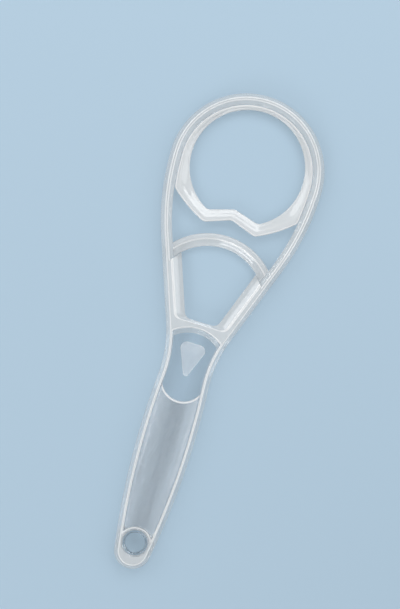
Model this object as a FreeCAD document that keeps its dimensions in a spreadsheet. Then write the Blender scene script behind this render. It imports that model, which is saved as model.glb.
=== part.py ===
import FreeCAD, Part
import math
import os

import Sketcher
from FreeCAD import Vector

# A clear plastic tongue scraper, lying on its flat back: a racket-shaped frame
# that holds a scraper ring, a bridge bar, a grip panel, a thumb pad and the
# eyelet of its hang hole.
# The origin is on the axis of the hang hole, in the plane of the flat back.
# +Y runs along the tool to the head, +X is its right side, +Z is up.

# Driving dimensions in millimetres. A station is a distance along the tool
# from the hang hole and a height is one from the flat back. The bow's rises
# are taken from its lobes, the rise of an arch from its feet to its crest, and
# the dish's and thumb's drops from the crest of the arch in the neck.
sizes = {
    # frame: outline from the round end to the top of the head
    "end_radius": 5.9,
    "end_drop": 2.8,
    "grip_half_width": 9.0,
    "grip_station": 36.0,
    "neck_radius": 40.0,
    "arm_angle": 20.0,
    "shoulder_radius": 80.0,
    "head_radius": 25.0,
    "head_station": 123.5,
    # frame: section
    "frame_height": 5.0,
    "rim_slope_width": 1.3,
    "rim_slope_drop": 3.0,
    "rim_flat": 0.7,
    "back_round": 0.6,
    "arm_width": 3.6,
    "arm_slope_width": 1.4,
    "arm_slope_drop": 1.5,
    "lower_arm_width": 6.2,
    "lower_arm_slope_width": 3.2,
    "opening_foot_half": 3.5,
    "opening_corner": 2.5,
    "opening_lip": 0.9,
    # recess for the grip panel and the thumb
    "recess_floor": 2.2,
    "neck_web": 2.2,
    "neck_arch_rise": 2.8,
    "eyelet_land": 0.5,
    "land_rise": 2.7,
    # scraper ring with its bow-shaped lower bar
    "ring_height": 3.4,
    "ring_band": 3.0,
    "ring_hole_rise": 1.3,
    "ring_edge_round": 0.45,
    "ring_slope_width": 0.9,
    "ring_slope_drop": 0.7,
    "bow_lobe_offset": 8.4,
    "bow_lobe_width": 4.2,
    "bow_peak_rise": 3.0,
    "bow_peak_width": 3.7,
    "bow_end_rise": 7.9,
    "bow_sweep_radius": 42.0,
    "bow_corner": 2.4,
    # bridge bar
    "bridge_gap": 2.2,
    "bridge_rise": 7.3,
    "bridge_width": 4.2,
    "bridge_height": 3.4,
    "bridge_edge_round": 0.5,
    "bridge_slope_width": 2.4,
    "bridge_slope_drop": 1.0,
    # grip panel
    "panel_edge_height": 4.3,
    "panel_crown": 0.5,
    "dish_drop": 19.4,
    "dish_depth": 4.4,
    # thumb pad
    "thumb_height": 1.7,
    "thumb_top_drop": 6.9,
    "thumb_top_offset": 2.0,
    "thumb_top_radius": 2.0,
    "thumb_tip_drop": 14.8,
    "thumb_tip_radius": 0.9,
    "thumb_edge_round": 0.7,
    # hang-hole eyelet
    "hang_hole_radius": 3.2,
    "eyelet_wall": 0.8,
    "eyelet_flange": 0.5,
    "eyelet_flange_height": 0.9,
    "eyelet_flare": 0.6,
    # room between seated pieces
    "seat_clearance": 0.1,
}

doc = FreeCAD.newDocument("tongue_scraper")
sheet = doc.addObject("Spreadsheet::Sheet", "Sizes")
for row, (alias, value) in enumerate(sizes.items(), start=1):
    sheet.set("A%d" % row, alias)
    sheet.set("B%d" % row, str(value))
    sheet.setAlias("B%d" % row, alias)
doc.recompute()
size = {alias: float(sheet.get(alias)) for alias in sizes}
clearance = size["seat_clearance"]


# Plane geometry

def unit(vector):
    return Vector(vector.x, vector.y, 0).normalize()


def mirrored(point):
    return Vector(-point.x, point.y, point.z)


def line(start, end):
    return Part.LineSegment(start, end)


def arc(centre, start, end):
    """Arc of less than half a turn about a centre."""
    radius = start.distanceToPoint(centre)
    middle = centre + unit((start - centre) + (end - centre)) * radius
    return Part.ArcOfCircle(start, middle, end)


def arc_over(centre, start, end):
    """Arc about a centre that goes from start to end over the top."""
    top = centre + Vector(0, start.distanceToPoint(centre), 0)
    return Part.ArcOfCircle(start, top, end)


def mirrored_curve(curve):
    """The same curve on the left of the tool."""
    if isinstance(curve, Part.LineSegment):
        return line(mirrored(curve.EndPoint), mirrored(curve.StartPoint))
    middle = curve.value((curve.FirstParameter + curve.LastParameter) / 2)
    return Part.ArcOfCircle(mirrored(curve.EndPoint), mirrored(middle), mirrored(curve.StartPoint))


def on_axis(station):
    return Vector(0, station, 0)


def line_leaves_circle(point, direction, centre, radius):
    """Where a line leaves a circle, on the side that the direction points to."""
    offset = point - centre
    half = offset.dot(direction)
    root = math.sqrt(half ** 2 - offset.dot(offset) + radius ** 2)
    return point + direction * (root - half)


def arch_centre(crest, foot):
    """Centre of the arc that goes from a foot on the right over a crest on the axis."""
    rise = crest.y - foot.y
    return crest - Vector(0, (foot.x ** 2 + rise ** 2) / (2 * rise), 0)


def circles_meet(centre_a, radius_a, centre_b, radius_b):
    """The meeting point on the right of the way from centre a to centre b."""
    gap = centre_b - centre_a
    along = (gap.dot(gap) + radius_a ** 2 - radius_b ** 2) / (2 * gap.Length)
    across = math.sqrt(radius_a ** 2 - along ** 2)
    way = unit(gap)
    return centre_a + way * along + Vector(way.y, -way.x, 0) * across


# Drawing and features

def new_body(label):
    body = doc.addObject("PartDesign::Body", label)
    body.Label = label
    return body


def plane_of(body, role):
    return next(plane for plane in body.Origin.OriginFeatures if plane.Role == role)


def nearest_ends(sketch, this, following):
    """The end of one curve and the end of the next that lie on each other."""
    pairs = [(a, b) for a in (1, 2) for b in (1, 2)]
    return min(pairs, key=lambda p: (sketch.getPoint(this, p[0]) - sketch.getPoint(following, p[1])).Length)


def add_loop(sketch, curves, radii):
    """A closed outline whose ends meet. radii gives the expression for some arcs' radius."""
    first = len(sketch.Geometry)
    sketch.addGeometry(curves, False)
    for index in range(len(curves)):
        this = first + index
        following = first + (index + 1) % len(curves)
        end, start = nearest_ends(sketch, this, following)
        sketch.addConstraint(Sketcher.Constraint("Coincident", this, end, following, start))
    for index, expression in radii.items():
        number = sketch.addConstraint(Sketcher.Constraint("Radius", first + index, curves[index].Radius))
        sketch.setExpression("Constraints[%d]" % number, expression)


def add_circle(sketch, radius, expression):
    """A circle about the origin."""
    index = sketch.addGeometry(Part.Circle(Vector(0, 0, 0), Vector(0, 0, 1), radius), False)
    sketch.addConstraint(Sketcher.Constraint("Coincident", index, 3, -1, 1))
    number = sketch.addConstraint(Sketcher.Constraint("Radius", index, radius))
    sketch.setExpression("Constraints[%d]" % number, expression)


def new_sketch(body, name, height=None, role="XY_Plane"):
    sketch = body.newObject("Sketcher::SketchObject", name)
    sketch.AttachmentSupport = [(plane_of(body, role), "")]
    sketch.MapMode = "FlatFace"
    if height:
        sketch.setExpression("AttachmentOffset.Base.z", height)
    return sketch


def pad(body, name, sketch, length):
    feature = body.newObject("PartDesign::Pad", name)
    feature.Profile = sketch
    feature.setExpression("Length", length)
    doc.recompute()
    return feature


def cut(body, name, sketch, length=None):
    """Pocket down from the sketch, or right through when no length is given."""
    before = body.Shape.Volume
    feature = body.newObject("PartDesign::Pocket", name)
    feature.Profile = sketch
    if length:
        feature.setExpression("Length", length)
    else:
        feature.Type = "ThroughAll"
    doc.recompute()
    if body.Shape.Volume >= before:
        raise RuntimeError(name + " cuts nothing")
    return feature


def edge_names(shape, edges):
    return ["Edge%d" % number for number, edge in enumerate(shape.Edges, start=1)
            if any(edge.isSame(wanted) for wanted in edges)]


def level_face(shape, height):
    """The largest flat face at a height."""
    faces = [face for face in shape.Faces
             if face.BoundBox.ZLength < 1e-6 and abs(face.BoundBox.ZMin - height) < 1e-6]
    return max(faces, key=lambda face: face.Area)


def upright_edges_near(shape, points):
    """Straight edges along Z that pass through given points of the plan."""
    uprights = [edge for edge in shape.Edges if edge.BoundBox.XLength + edge.BoundBox.YLength < 1e-5]
    return [min(uprights, key=lambda edge: (Vector(edge.CenterOfMass.x, edge.CenterOfMass.y, 0) - point).Length)
            for point in points]


def round_edges(body, name, edges, radius):
    base = body.Tip
    feature = body.newObject("PartDesign::Fillet", name)
    feature.Base = (base, edge_names(base.Shape, edges))
    feature.setExpression("Radius", radius)
    doc.recompute()
    return feature


def slope_edges(body, name, edges, drop, width):
    """A slope that runs from the walls below the edges to the face above them."""
    base = body.Tip
    feature = body.newObject("PartDesign::Chamfer", name)
    feature.Base = (base, edge_names(base.Shape, edges))
    feature.ChamferType = "Two distances"
    feature.setExpression("Size", drop)
    feature.setExpression("Size2", width)
    doc.recompute()
    return feature


# Frame outline: the round end, barrel-shaped grip, neck, arm, shoulder and head are tangent
arm_lean = math.radians(size["arm_angle"])
arm_out = Vector(math.cos(arm_lean), -math.sin(arm_lean), 0)
arm_up = Vector(math.sin(arm_lean), math.cos(arm_lean), 0)
end_centre = on_axis(-size["end_drop"])
end_spread = size["grip_half_width"] - size["end_radius"]
grip_reach = size["grip_station"] + size["end_drop"]
barrel_radius = (grip_reach ** 2 + size["grip_half_width"] ** 2 - size["end_radius"] ** 2) / (2 * end_spread)
barrel_centre = Vector(size["grip_half_width"] - barrel_radius, size["grip_station"], 0)
shoulder_centre = Vector(size["head_radius"] - size["shoulder_radius"], size["head_station"], 0)
head_centre = on_axis(size["head_station"])
neck_line_start = shoulder_centre + arm_out * (size["shoulder_radius"] + size["neck_radius"])
neck_reach = barrel_radius + size["neck_radius"]
neck_centre = line_leaves_circle(neck_line_start, arm_up, barrel_centre, neck_reach)


def barrel_bottom(inset):
    return end_centre + unit(end_centre - barrel_centre) * (size["end_radius"] - inset)


def barrel_top(inset):
    return barrel_centre + unit(neck_centre - barrel_centre) * (barrel_radius - inset)


def neck_top(inset):
    return neck_centre - arm_out * (size["neck_radius"] + inset)


def arm_top(inset):
    return shoulder_centre + arm_out * (size["shoulder_radius"] - inset)


def head_side(inset):
    return Vector(size["head_radius"] - inset, size["head_station"], 0)


def head_arc(inset):
    return arc_over(head_centre, head_side(inset), mirrored(head_side(inset)))


def frame_outline():
    right = [
        arc(barrel_centre, barrel_bottom(0), barrel_top(0)),
        arc(neck_centre, barrel_top(0), neck_top(0)),
        line(neck_top(0), arm_top(0)),
        arc(shoulder_centre, arm_top(0), head_side(0)),
    ]
    left = [mirrored_curve(curve) for curve in reversed(right)]
    end = arc(end_centre, mirrored(barrel_bottom(0)), barrel_bottom(0))
    return right + [head_arc(0)] + left + [end]


frame_radii = {
    1: "Sizes.neck_radius", 3: "Sizes.shoulder_radius", 4: "Sizes.head_radius",
    5: "Sizes.shoulder_radius", 7: "Sizes.neck_radius", 9: "Sizes.end_radius",
}


# The lobes of the scraper ring's bow hang below its hole
ring_hole_radius = size["head_radius"] - size["arm_width"] - size["ring_band"]
ring_hole_centre = on_axis(size["head_station"] + size["ring_hole_rise"])
hole_depth = math.sqrt(ring_hole_radius ** 2 - size["bow_lobe_offset"] ** 2)
hole_lobe = ring_hole_centre + Vector(size["bow_lobe_offset"], -hole_depth, 0)
bow_lobe = hole_lobe - Vector(0, size["bow_lobe_width"], 0)

# The bridge bar's arch is below the lobes, and its feet are on the arms
bridge_crest = on_axis(bow_lobe.y - size["bridge_gap"] - size["bridge_width"])
inner_arm_top = arm_top(size["arm_width"])
foot_slide = (bridge_crest.y - size["bridge_rise"] - inner_arm_top.y) / arm_up.y
bridge_centre = arch_centre(bridge_crest, inner_arm_top + arm_up * foot_slide)
bridge_seat_radius = bridge_crest.y - bridge_centre.y
bridge_radius = bridge_seat_radius + size["bridge_width"]


# The arms' inner edge is far in below the bridge bar, which stands on the step, and near above it
def bridge_meets_arm(radius, inset):
    return line_leaves_circle(arm_top(inset), arm_up, bridge_centre, radius)


def opening_station():
    """Where the opening's foot has its width between the arms."""
    corner_line = arm_top(size["lower_arm_width"] + size["opening_corner"])
    rise = (size["opening_foot_half"] - corner_line.x) / math.tan(arm_lean)
    return corner_line.y + rise - size["opening_corner"]


def frame_opening(upper_inset, lower_inset, bottom_station):
    corner = size["opening_corner"]
    corner_line = arm_top(lower_inset + corner)
    rise = (bottom_station + corner - corner_line.y) / math.cos(arm_lean)
    corner_centre = corner_line + arm_up * rise
    corner_bottom = Vector(corner_centre.x, bottom_station, 0)
    corner_side = corner_centre + arm_out * corner
    step_in = bridge_meets_arm(bridge_seat_radius, lower_inset)
    step_out = bridge_meets_arm(bridge_seat_radius, upper_inset)
    right = [
        arc(corner_centre, corner_bottom, corner_side),
        line(corner_side, step_in),
        arc(bridge_centre, step_in, step_out),
        line(step_out, arm_top(upper_inset)),
        arc(shoulder_centre, arm_top(upper_inset), head_side(upper_inset)),
    ]
    left = [mirrored_curve(curve) for curve in reversed(right)]
    bottom = line(mirrored(corner_bottom), corner_bottom)
    return right + [head_arc(upper_inset)] + left + [bottom]


# The recess in the handle ends at a land round the eyelet and at an arch in the neck
recess_inset = size["rim_slope_width"] + size["rim_flat"]
eyelet_radius = size["hang_hole_radius"] + size["eyelet_wall"]
flange_radius = eyelet_radius + size["eyelet_flange"]
land_crest = on_axis(flange_radius + size["eyelet_land"])
arch_crest = on_axis(opening_station() - size["neck_web"])


def grip_side(station, inset):
    """Point of the grip's right side at a station."""
    reach = barrel_radius - inset
    rise = station - barrel_centre.y
    return barrel_centre + Vector(math.sqrt(reach ** 2 - rise ** 2), rise, 0)


def neck_side(station, inset):
    """Point of the neck's right side at a station."""
    reach = size["neck_radius"] + inset
    rise = station - neck_centre.y
    return neck_centre + Vector(-math.sqrt(reach ** 2 - rise ** 2), rise, 0)


recess_low = grip_side(land_crest.y - size["land_rise"], recess_inset)
recess_high = neck_side(arch_crest.y - size["neck_arch_rise"], recess_inset)
land_centre = arch_centre(land_crest, recess_low)
neck_arch_centre = arch_centre(arch_crest, recess_high)


def recess_outline():
    right = [
        arc(barrel_centre, recess_low, barrel_top(recess_inset)),
        arc(neck_centre, barrel_top(recess_inset), recess_high),
    ]
    left = [mirrored_curve(curve) for curve in reversed(right)]
    neck_arch = arc(neck_arch_centre, recess_high, mirrored(recess_high))
    return right + [neck_arch] + left + [arc(land_centre, mirrored(recess_low), recess_low)]


# Frame
frame = new_body("handle_frame")
frame_plan = new_sketch(frame, "frame_plan")
add_loop(frame_plan, frame_outline(), frame_radii)
opening_plan = frame_opening(size["arm_width"], size["lower_arm_width"], opening_station())
add_loop(frame_plan, opening_plan, {0: "Sizes.opening_corner"})
pad(frame, "frame_slab", frame_plan, "Sizes.frame_height")

# The opening's walls lean back above the seats of the ring and the bridge bar
slope_foot = new_sketch(frame, "slope_foot", "Sizes.frame_height - Sizes.arm_slope_drop")
add_loop(slope_foot, opening_plan, {0: "Sizes.opening_corner"})
slope_top = new_sketch(frame, "slope_top", "Sizes.frame_height")
add_loop(slope_top, frame_opening(
    size["arm_width"] - size["arm_slope_width"],
    size["lower_arm_width"] - size["lower_arm_slope_width"],
    opening_station() - size["opening_lip"]), {0: "Sizes.opening_corner"})
inner_slope = frame.newObject("PartDesign::SubtractiveLoft", "inner_slope")
inner_slope.Profile = slope_foot
inner_slope.Sections = [slope_top]
inner_slope.Ruled = True
doc.recompute()

recess_plan = new_sketch(frame, "recess_plan", "Sizes.frame_height")
add_loop(recess_plan, recess_outline(), {})
cut(frame, "recess", recess_plan, "Sizes.frame_height - Sizes.recess_floor")

flange_plan = new_sketch(frame, "flange_plan", "Sizes.frame_height")
add_circle(flange_plan, flange_radius, "Sizes.hang_hole_radius + Sizes.eyelet_wall + Sizes.eyelet_flange")
cut(frame, "flange_seat", flange_plan, "Sizes.eyelet_flange_height")
bore_plan = new_sketch(frame, "bore_plan", "Sizes.frame_height")
add_circle(bore_plan, eyelet_radius, "Sizes.hang_hole_radius + Sizes.eyelet_wall")
cut(frame, "eyelet_bore", bore_plan)

rim_edges = level_face(frame.Tip.Shape, size["frame_height"]).OuterWire.Edges
slope_edges(frame, "rim_slope", rim_edges, "Sizes.rim_slope_drop", "Sizes.rim_slope_width")
back_edges = level_face(frame.Tip.Shape, 0).OuterWire.Edges
round_edges(frame, "back_edge", back_edges, "Sizes.back_round")

# Scraper ring: it fills the head of the frame, round a hole whose foot is a bow with two lobes
ring_inset = size["arm_width"] + clearance
bow_peak = on_axis(bow_lobe.y + size["bow_peak_rise"])
bow_peak_top = on_axis(bow_peak.y + size["bow_peak_width"])
ring_side_radius = size["shoulder_radius"] - ring_inset
bow_end_depth = size["head_station"] - bow_lobe.y - size["bow_end_rise"]
bow_end_out = math.sqrt(ring_side_radius ** 2 - bow_end_depth ** 2)
bow_end = shoulder_centre + Vector(bow_end_out, -bow_end_depth, 0)
sweep_centre = circles_meet(bow_end, size["bow_sweep_radius"], bow_lobe, size["bow_sweep_radius"])


def ring_outline():
    right = [
        line(bow_peak, bow_lobe),
        arc(sweep_centre, bow_lobe, bow_end),
        arc(shoulder_centre, bow_end, head_side(ring_inset)),
    ]
    left = [mirrored_curve(curve) for curve in reversed(right)]
    return right + [head_arc(ring_inset)] + left


def ring_hole():
    right = line(bow_peak_top, hole_lobe)
    return [right, arc_over(ring_hole_centre, hole_lobe, mirrored(hole_lobe)), mirrored_curve(right)]


ring = new_body("scraper_ring")
ring_plan = new_sketch(ring, "ring_plan")
add_loop(ring_plan, ring_outline(), {1: "Sizes.bow_sweep_radius", 5: "Sizes.bow_sweep_radius"})
add_loop(ring_plan, ring_hole(), {1: "Sizes.head_radius - Sizes.arm_width - Sizes.ring_band"})
pad(ring, "ring_slab", ring_plan, "Sizes.ring_height")
bow_corners = [bow_peak, bow_peak_top, bow_lobe, mirrored(bow_lobe), hole_lobe, mirrored(hole_lobe)]
round_edges(ring, "bow_corners", upright_edges_near(ring.Tip.Shape, bow_corners), "Sizes.bow_corner")
hole_edges = level_face(ring.Tip.Shape, size["ring_height"]).Wires[1].Edges
slope_edges(ring, "ring_slope", hole_edges, "Sizes.ring_slope_drop", "Sizes.ring_slope_width")
ring_edges = level_face(ring.Tip.Shape, size["ring_height"]).OuterWire.Edges
round_edges(ring, "ring_edge", ring_edges, "Sizes.ring_edge_round")


# Bridge bar: an arched bar between the arms, on the step of their inner edge
def bridge_outline():
    inner = bridge_seat_radius + clearance
    inset = size["arm_width"] + clearance
    low = bridge_meets_arm(inner, inset)
    high = bridge_meets_arm(bridge_radius, inset)
    return [
        line(low, high),
        arc(bridge_centre, high, mirrored(high)),
        line(mirrored(high), mirrored(low)),
        arc(bridge_centre, mirrored(low), low),
    ]


bridge = new_body("bridge_bar")
bridge_plan = new_sketch(bridge, "bridge_plan")
add_loop(bridge_plan, bridge_outline(), {})
pad(bridge, "bridge_slab", bridge_plan, "Sizes.bridge_height")
bridge_arcs = [edge for edge in level_face(bridge.Tip.Shape, size["bridge_height"]).Edges
               if isinstance(edge.Curve, Part.Circle)]
bridge_arcs.sort(key=lambda edge: edge.Curve.Radius)
slope_edges(bridge, "bridge_slope", bridge_arcs[:1], "Sizes.bridge_slope_drop", "Sizes.bridge_slope_width")
upper_arc = [edge for edge in level_face(bridge.Tip.Shape, size["bridge_height"]).Edges
             if isinstance(edge.Curve, Part.Circle) and abs(edge.Curve.Radius - bridge_radius) < 1e-4]
round_edges(bridge, "bridge_edge", upper_arc, "Sizes.bridge_edge_round")


# Grip panel: a crowned bar trimmed to the recess, hollow at the eyelet end and at the thumb dish
def panel_outline():
    inset = recess_inset + clearance
    barrel = barrel_radius - inset
    low = circles_meet(land_centre, land_crest.y - land_centre.y + clearance, barrel_centre, barrel)
    high = grip_side(arch_crest.y - size["dish_drop"], inset)
    side = arc(barrel_centre, low, high)
    return [
        side,
        Part.ArcOfCircle(high, on_axis(high.y - size["dish_depth"]), mirrored(high)),
        mirrored_curve(side),
        arc(land_centre, mirrored(low), low),
    ]


panel = new_body("grip_panel")
panel_section = new_sketch(panel, "panel_section", role="XZ_Plane")
section_side = size["grip_half_width"]
section_top = size["panel_edge_height"] + size["panel_crown"]
section_corners = [Vector(section_side * side, height, 0) for side, height in (
    (-1, size["recess_floor"]), (1, size["recess_floor"]),
    (1, size["panel_edge_height"]), (-1, size["panel_edge_height"]))]
add_loop(panel_section, [
    line(section_corners[0], section_corners[1]),
    line(section_corners[1], section_corners[2]),
    Part.ArcOfCircle(section_corners[2], Vector(0, section_top, 0), section_corners[3]),
    line(section_corners[3], section_corners[0]),
], {})
panel_bar = pad(panel, "panel_bar", panel_section, "Sizes.head_station")
panel_bar.Reversed = True
doc.recompute()
panel_plan = new_sketch(panel, "panel_plan", "Sizes.panel_edge_height + Sizes.panel_crown")
add_loop(panel_plan, panel_outline(), {})
trim_side = size["grip_half_width"] + size["end_radius"]
trim_low = -size["end_radius"]
trim_high = size["head_station"] + size["end_radius"]
trim_corners = [Vector(-trim_side, trim_low, 0), Vector(trim_side, trim_low, 0),
                Vector(trim_side, trim_high, 0), Vector(-trim_side, trim_high, 0)]
add_loop(panel_plan, [line(trim_corners[k], trim_corners[(k + 1) % 4]) for k in range(4)], {})
cut(panel, "panel_trim", panel_plan)


# Thumb pad: a drop with a broad top, in the dish above the panel
def thumb_outline():
    top = on_axis(arch_crest.y - size["thumb_top_drop"]) + Vector(size["thumb_top_offset"], 0, 0)
    tip = on_axis(arch_crest.y - size["thumb_tip_drop"])
    way = tip - top
    lean = (size["thumb_top_radius"] - size["thumb_tip_radius"]) / way.Length
    along = unit(way)
    outward = along * lean + Vector(-along.y, along.x, 0) * math.sqrt(1 - lean ** 2)
    top_side = top + outward * size["thumb_top_radius"]
    tip_side = tip + outward * size["thumb_tip_radius"]
    crest = top + Vector(0, size["thumb_top_radius"], 0)
    right = [line(tip_side, top_side), arc(top, top_side, crest)]
    left = [mirrored_curve(curve) for curve in reversed(right)]
    return right + [line(crest, mirrored(crest))] + left + [arc(tip, mirrored(tip_side), tip_side)]


thumb = new_body("thumb_pad")
thumb_plan = new_sketch(thumb, "thumb_plan", "Sizes.recess_floor")
add_loop(thumb_plan, thumb_outline(), {
    1: "Sizes.thumb_top_radius", 3: "Sizes.thumb_top_radius", 5: "Sizes.thumb_tip_radius"})
pad(thumb, "thumb_slab", thumb_plan, "Sizes.thumb_height")
thumb_edges = level_face(thumb.Tip.Shape, size["recess_floor"] + size["thumb_height"]).Edges
round_edges(thumb, "thumb_edge", thumb_edges, "Sizes.thumb_edge_round")

# Eyelet: a flanged bush that lines the hang hole, flared at its mouth
eyelet = new_body("hang_eyelet")
eyelet_section = new_sketch(eyelet, "eyelet_section", role="XZ_Plane")
bush_outside = eyelet_radius - clearance
flange_outside = flange_radius - clearance
flange_foot = size["frame_height"] - size["eyelet_flange_height"]
bore_side = size["hang_hole_radius"]
mouth_foot = size["frame_height"] - size["eyelet_flare"]
profile = [Vector(radius, height, 0) for radius, height in (
    (bore_side, 0), (bush_outside, 0), (bush_outside, flange_foot), (flange_outside, flange_foot),
    (flange_outside, size["frame_height"]), (bore_side + size["eyelet_flare"], size["frame_height"]),
    (bore_side, mouth_foot))]
add_loop(eyelet_section, [line(a, b) for a, b in zip(profile, profile[1:] + profile[:1])], {})
eyelet_turn = eyelet.newObject("PartDesign::Revolution", "eyelet_turn")
eyelet_turn.Profile = eyelet_section
eyelet_turn.ReferenceAxis = (eyelet_section, ["V_Axis"])
doc.recompute()

# Every feature has to be sound before anything is written
for item in doc.Objects:
    if "Invalid" in item.State or "Error" in item.State:
        raise RuntimeError("%s did not build: %s" % (item.Label, item.State))
pieces = [frame, ring, bridge, panel, thumb, eyelet]
for piece in pieces:
    if piece.Shape.isNull() or not piece.Shape.isValid() or len(piece.Shape.Solids) != 1:
        raise RuntimeError(piece.Label + " is not one sound solid")
os.makedirs("parts", exist_ok=True)
for piece in pieces:
    piece.Shape.exportStep("parts/%s.step" % piece.Label)
    box = piece.Shape.optimalBoundingBox()
    print("%s: %.0f mm3, %.1f x %.1f x %.1f mm" % (
        piece.Label, piece.Shape.Volume, box.XLength, box.YLength, box.ZLength))
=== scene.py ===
import math

import bmesh
import bpy
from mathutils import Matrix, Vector


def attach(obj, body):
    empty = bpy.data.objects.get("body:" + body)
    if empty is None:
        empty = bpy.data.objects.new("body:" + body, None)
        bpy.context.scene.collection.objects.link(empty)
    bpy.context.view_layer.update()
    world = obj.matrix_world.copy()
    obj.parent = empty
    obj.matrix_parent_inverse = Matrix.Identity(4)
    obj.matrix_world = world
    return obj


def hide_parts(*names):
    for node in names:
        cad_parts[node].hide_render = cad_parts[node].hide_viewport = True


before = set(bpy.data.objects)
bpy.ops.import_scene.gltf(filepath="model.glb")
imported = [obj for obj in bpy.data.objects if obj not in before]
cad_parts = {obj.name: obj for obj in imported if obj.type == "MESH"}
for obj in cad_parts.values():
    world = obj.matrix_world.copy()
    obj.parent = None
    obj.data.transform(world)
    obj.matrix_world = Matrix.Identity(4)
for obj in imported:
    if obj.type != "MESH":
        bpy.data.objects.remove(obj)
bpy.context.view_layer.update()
print("frame loaded: %d nodes" % len(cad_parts))

# Plan geometry is in millimetres, x to the right and y from the hang hole to the head.
# Each outline is drawn as its right half, from the axis at its foot to the axis at its top.


def point(x, y):
    return Vector((x, y))


def mirrored(p):
    return Vector((-p.x, p.y))


def lineLeg(a, b, count):
    return [a.lerp(b, k / count) for k in range(count)]


def arcLeg(centre, a, b, count):
    start = math.atan2(a.y - centre.y, a.x - centre.x)
    turn = math.atan2(b.y - centre.y, b.x - centre.x) - start
    turn = (turn + math.pi) % (2 * math.pi) - math.pi  # the short way round
    radius = (a - centre).length
    angles = [start + turn * k / count for k in range(count)]
    return [centre + point(math.cos(t), math.sin(t)) * radius for t in angles]


def fullLoop(half):
    return half + [mirrored(p) for p in reversed(half[1:-1])]


def circlesMeet(centreA, radiusA, centreB, radiusB):
    gap = centreB - centreA
    along = (gap.length_squared + radiusA ** 2 - radiusB ** 2) / (2 * gap.length)
    across = math.sqrt(radiusA ** 2 - along ** 2)
    way = gap.normalized()
    return centreA + way * along + point(way.y, -way.x) * across


def lineLeavesCircle(start, direction, centre, radius):
    offset = start - centre
    half = offset.dot(direction)
    return start + direction * (math.sqrt(half ** 2 - offset.length_squared + radius ** 2) - half)


def resampled(path, count):
    # the same path with evenly spaced points, both ends kept
    lengths = [0.0]
    for a, b in zip(path, path[1:]):
        lengths.append(lengths[-1] + (b - a).length)
    spread, leg = [], 0
    for k in range(count + 1):
        reach = lengths[-1] * k / count
        while leg < len(path) - 2 and lengths[leg + 1] < reach:
            leg += 1
        step = lengths[leg + 1] - lengths[leg]
        spread.append(path[leg].lerp(path[leg + 1], (reach - lengths[leg]) / step))
    return spread


def eased(radius, steps):
    # a rounded edge, as distances in from its one side and from the other
    turns = [math.radians(90 * k / steps) for k in range(steps + 1)]
    return [(radius * (1 - math.sin(t)), radius * (1 - math.cos(t))) for t in turns]


# Mesh building, from plan points in millimetres to metres
millimetre = 0.001


def addVert(bm, p, z):
    return bm.verts.new((p.x * millimetre, p.y * millimetre, z * millimetre))


def addRing(bm, loop, height):
    heights = height if isinstance(height, list) else [height] * len(loop)
    return [addVert(bm, p, z) for p, z in zip(loop, heights)]


def skinRings(bm, rings, paint=lambda level, step: 0):
    # faces between rings. paint says which of the piece's materials a face takes
    for level, (lower, upper) in enumerate(zip(rings, rings[1:])):
        for k in range(len(lower)):
            n = (k + 1) % len(lower)
            face = bm.faces.new((lower[k], lower[n], upper[n], upper[k]))
            face.material_index = paint(level, k)


def capRings(bm, rings):
    # one flat face round any holes
    edges = []
    for loop in rings:
        pairs = [(loop[k - 1], loop[k]) for k in range(len(loop))]
        edges += [bm.edges.get(pair) or bm.edges.new(pair) for pair in pairs]
    made = bmesh.ops.triangle_fill(bm, edges=edges, use_beauty=True)["geom"]
    return [item for item in made if isinstance(item, bmesh.types.BMFace)]


def finishPiece(bm, name, nodeName, slotName, *finishNames, sharpAngle=32):
    bmesh.ops.recalc_face_normals(bm, faces=bm.faces[:])
    mesh = bpy.data.meshes.new(name)
    bm.to_mesh(mesh)
    bm.free()
    for finishName in finishNames:
        mesh.materials.append(finish[finishName])
    mesh.shade_smooth()
    mesh.set_sharp_from_angle(angle=math.radians(sharpAngle))
    piece = bpy.data.objects.new(name, mesh)
    bpy.context.scene.collection.objects.link(piece)
    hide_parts(nodeName)
    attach(piece, "root")
    print("%s: %d faces" % (name, len(mesh.polygons)))


# Materials: clear styrene, a little milky, with flow streaks, moulding ripples, handling marks and some
# painted shade, reflection and highlight


def addNode(tree, kind, values, **settings):
    # values are numbers to set or sockets to link, by the input's name or number
    node = tree.nodes.new(kind)
    for setting, choice in settings.items():
        setattr(node, setting, choice)
    for place, value in values.items():
        if isinstance(value, bpy.types.NodeSocket):
            tree.links.new(value, node.inputs[place])
        else:
            node.inputs[place].default_value = value
    return node


def addSockets(tree, way, kinds):
    for label, kind in kinds.items():
        tree.interface.new_socket(label, in_out=way, socket_type="NodeSocket" + kind)


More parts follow.
